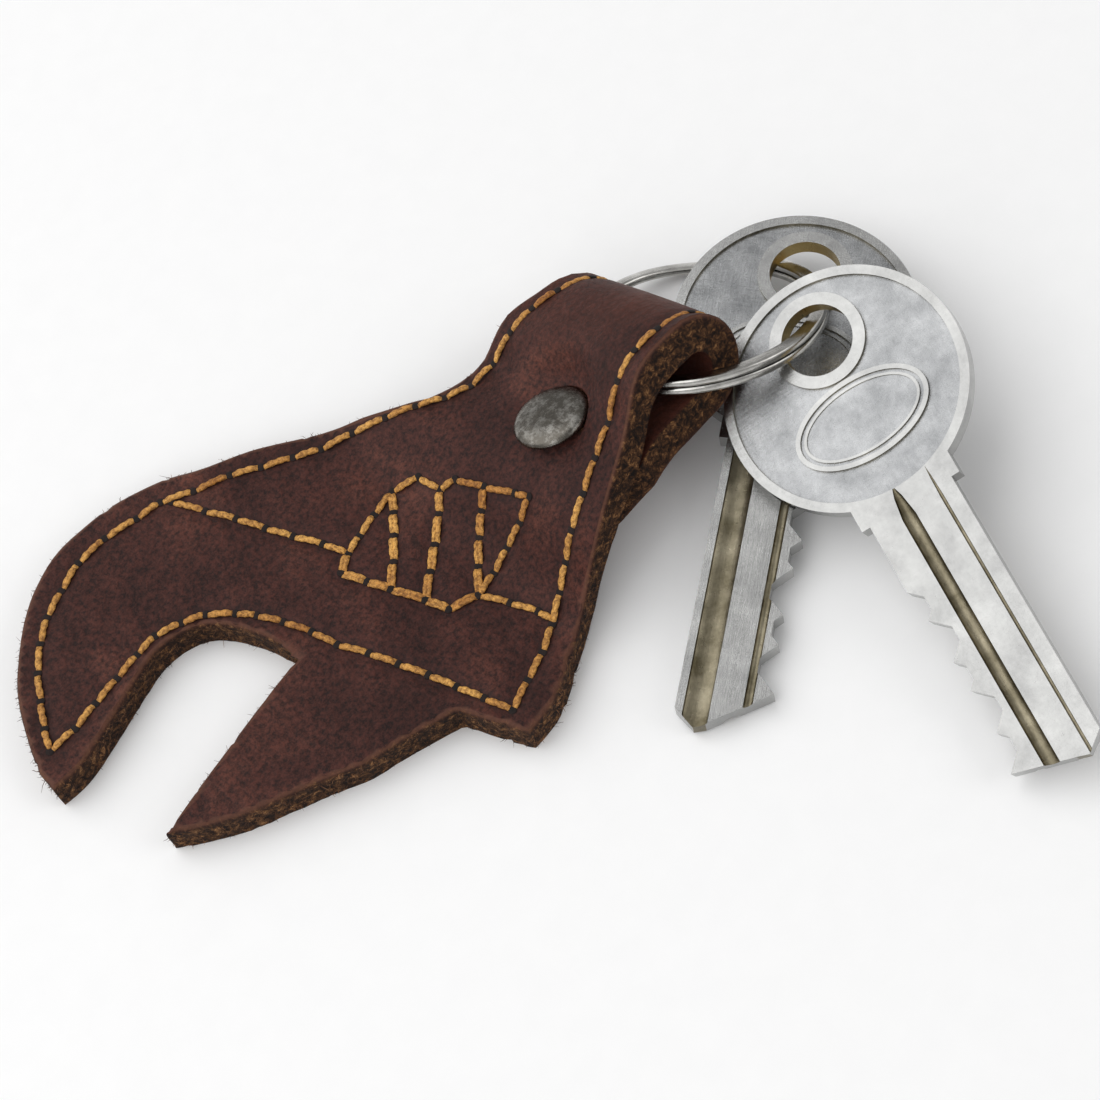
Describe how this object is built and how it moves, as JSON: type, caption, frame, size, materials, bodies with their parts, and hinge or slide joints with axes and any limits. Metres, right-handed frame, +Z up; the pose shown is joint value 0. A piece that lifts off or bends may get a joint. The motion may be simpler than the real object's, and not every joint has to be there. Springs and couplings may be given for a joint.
{
  "type": "key organiser",
  "caption": "Leather key fob in the shape of an adjustable wrench head, folded into a riveted loop that holds a split ring with cylinder keys.",
  "frame": {"origin": "on the underside of the flat wrench head, at the level of the table, near the sewn adjusting screw", "axes": "+X along the strap from the jaws towards the split ring, +Z up from the table, +Y towards the back of the wrench"},
  "size_m": [0.0972, 0.0959, 0.0192],
  "materials": {
    "leather": "dark brown waxed, raw edges",
    "thread": "waxed tan thread",
    "rivet_metal": "antique dark nickel, worn",
    "ring_steel": "nickel plated, lightly scratched",
    "key_nickel": "nickel plated brass, brass showing where cut"
  },
  "bodies": {
    "leather_fob": {"leather_strap": "leather", "rivet_cap": "rivet_metal", "rivet_post": "rivet_metal", "thread_back_edge": "thread", "thread_jaw_mouth": "thread", "thread_near_edge": "thread", "thread_head_line": "thread", "thread_knurl_outline": "thread", "thread_knurl_side": "thread", "thread_handle_line": "thread", "thread_knurl_bar_1": "thread", "thread_knurl_bar_2": "thread", "thread_knurl_bar_3": "thread"},
    "split_ring": {"split_ring": "ring_steel"},
    "front_key": {"front_key": "key_nickel"},
    "rear_key": {"rear_key": "key_nickel"}
  },
  "joints": [
    {"name": "ring_swing", "type": "hinge", "parent": "leather_fob", "child": "split_ring", "pos_m": [0.029, 0.00118, 0.00947], "axis": [0, 0.9128, -0.4083], "range_deg": [-10, 0]},
    {"name": "front_key_lift", "type": "hinge", "parent": "split_ring", "child": "front_key", "pos_m": [0.03983, -0.01269, 0.01039], "axis": [0.9105, 0.1588, -0.3817], "range_deg": [-35, 0]},
    {"name": "rear_key_slide_round_ring", "type": "hinge", "parent": "split_ring", "child": "rear_key", "pos_m": [0.03638, -0.00105, 0.007], "axis": [0.3097, 0.3495, 0.8843], "range_deg": [-2, 25]}
  ]
}
